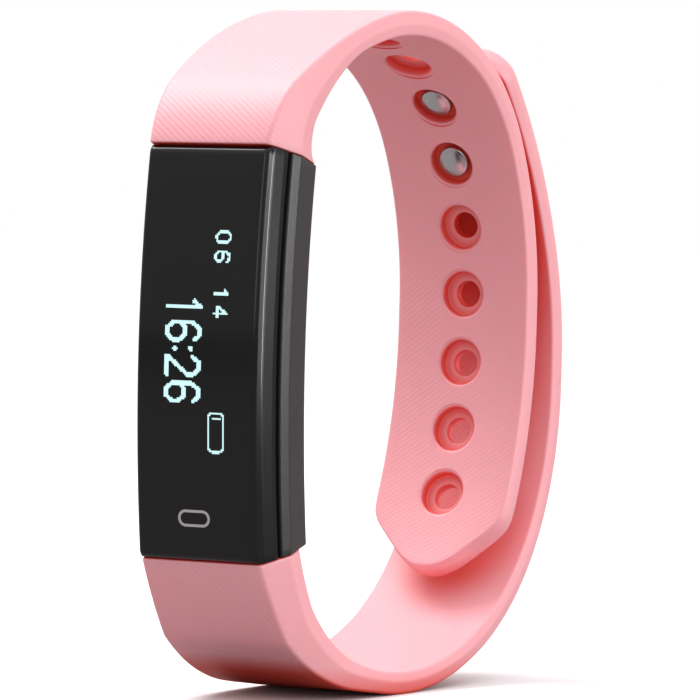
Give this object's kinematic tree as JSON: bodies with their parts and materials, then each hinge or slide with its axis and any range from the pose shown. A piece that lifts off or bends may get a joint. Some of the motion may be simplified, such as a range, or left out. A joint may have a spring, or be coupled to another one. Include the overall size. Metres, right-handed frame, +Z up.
{
  "type": "fitness tracker band",
  "caption": "Slim fitness tracker band: arched core with a tall display and a touch key, tongued into a two-part elastomer strap that closes with metal studs in a row of holes",
  "frame": {"origin": "bottom of the closed loop, in the middle of its width and depth", "axes": "X along the wrist, -Y out of the display, +Z up towards the hole strap"},
  "size_m": [0.0156, 0.062, 0.0684],
  "materials": {
    "lens": "glossy black touch lens with rounded edges",
    "bezel": "glossy black moulding",
    "gasket": "soft silicone",
    "housing": "satin black moulding",
    "display": "smooth, unlit black with pale marks",
    "foam": "fine closed-cell foam",
    "flex": "amber film",
    "electrode": "gold plated",
    "board": "solder-resist coated laminate",
    "chip": "moulded epoxy",
    "passive": "sintered ceramic",
    "ceramic": "white ceramic",
    "battery": "foil pouch",
    "tape": "adhesive film",
    "tabs": "nickel strip",
    "motor": "drawn steel",
    "weight": "sintered tungsten",
    "contact": "gold plated, slightly worn",
    "strap": "satin pink elastomer with fine diagonal ribs near the core",
    "clasp": "polished stainless steel"
  },
  "bodies": {
    "stud_strap": {"stud_strap_end": "strap", "stud_strap_arch": "strap", "hole_strap_tail": "strap"},
    "core": {"lens": "lens", "front_bezel": "bezel", "case_gasket": "gasket", "rear_housing": "housing", "display_panel": "display", "display_foam": "foam", "display_flex": "flex", "touch_electrode": "electrode", "main_board": "board", "radio_chip": "chip", "accelerometer": "chip", "small_components": "passive", "chip_antenna": "ceramic", "battery_cell": "battery", "battery_tape": "tape", "battery_tabs": "tabs", "motor_can": "motor", "motor_shaft": "motor", "charge_contacts": "contact"},
    "hole_strap_end": {"hole_strap_end": "strap", "hole_strap_arch": "strap"},
    "stud_tail": {"stud_strap_tail": "strap", "clasp_plate": "clasp", "clasp_studs": "clasp"},
    "motor_rotor": {"motor_weight": "weight"}
  },
  "joints": [
    {"name": "core_pull", "type": "slide", "parent": "stud_strap", "child": "core", "axis": [0, 0, 1], "range_m": [0, 0.0065]},
    {"name": "hole_end_pull", "type": "slide", "parent": "stud_strap", "child": "hole_strap_end", "axis": [0, 0, 1], "range_m": [0, 0.013], "deforming": ["hole_strap_arch"]},
    {"name": "clasp_open", "type": "hinge", "parent": "stud_strap", "child": "stud_tail", "pos_m": [0, 0.01353, 0.00307], "axis": [-1, 0, 0], "range_deg": [0, 75], "stiffness_Nm_per_rad": 0.05, "deforming": ["hole_strap_tail"]},
    {"name": "motor_spin", "type": "hinge", "parent": "core", "child": "motor_rotor", "pos_m": [0, -0.0253, 0.02124], "axis": [0, 1, 0], "continuous": true}
  ],
  "couplings": [
    {"joint": "hole_end_pull", "follows": "core_pull", "ratio": 2}
  ]
}
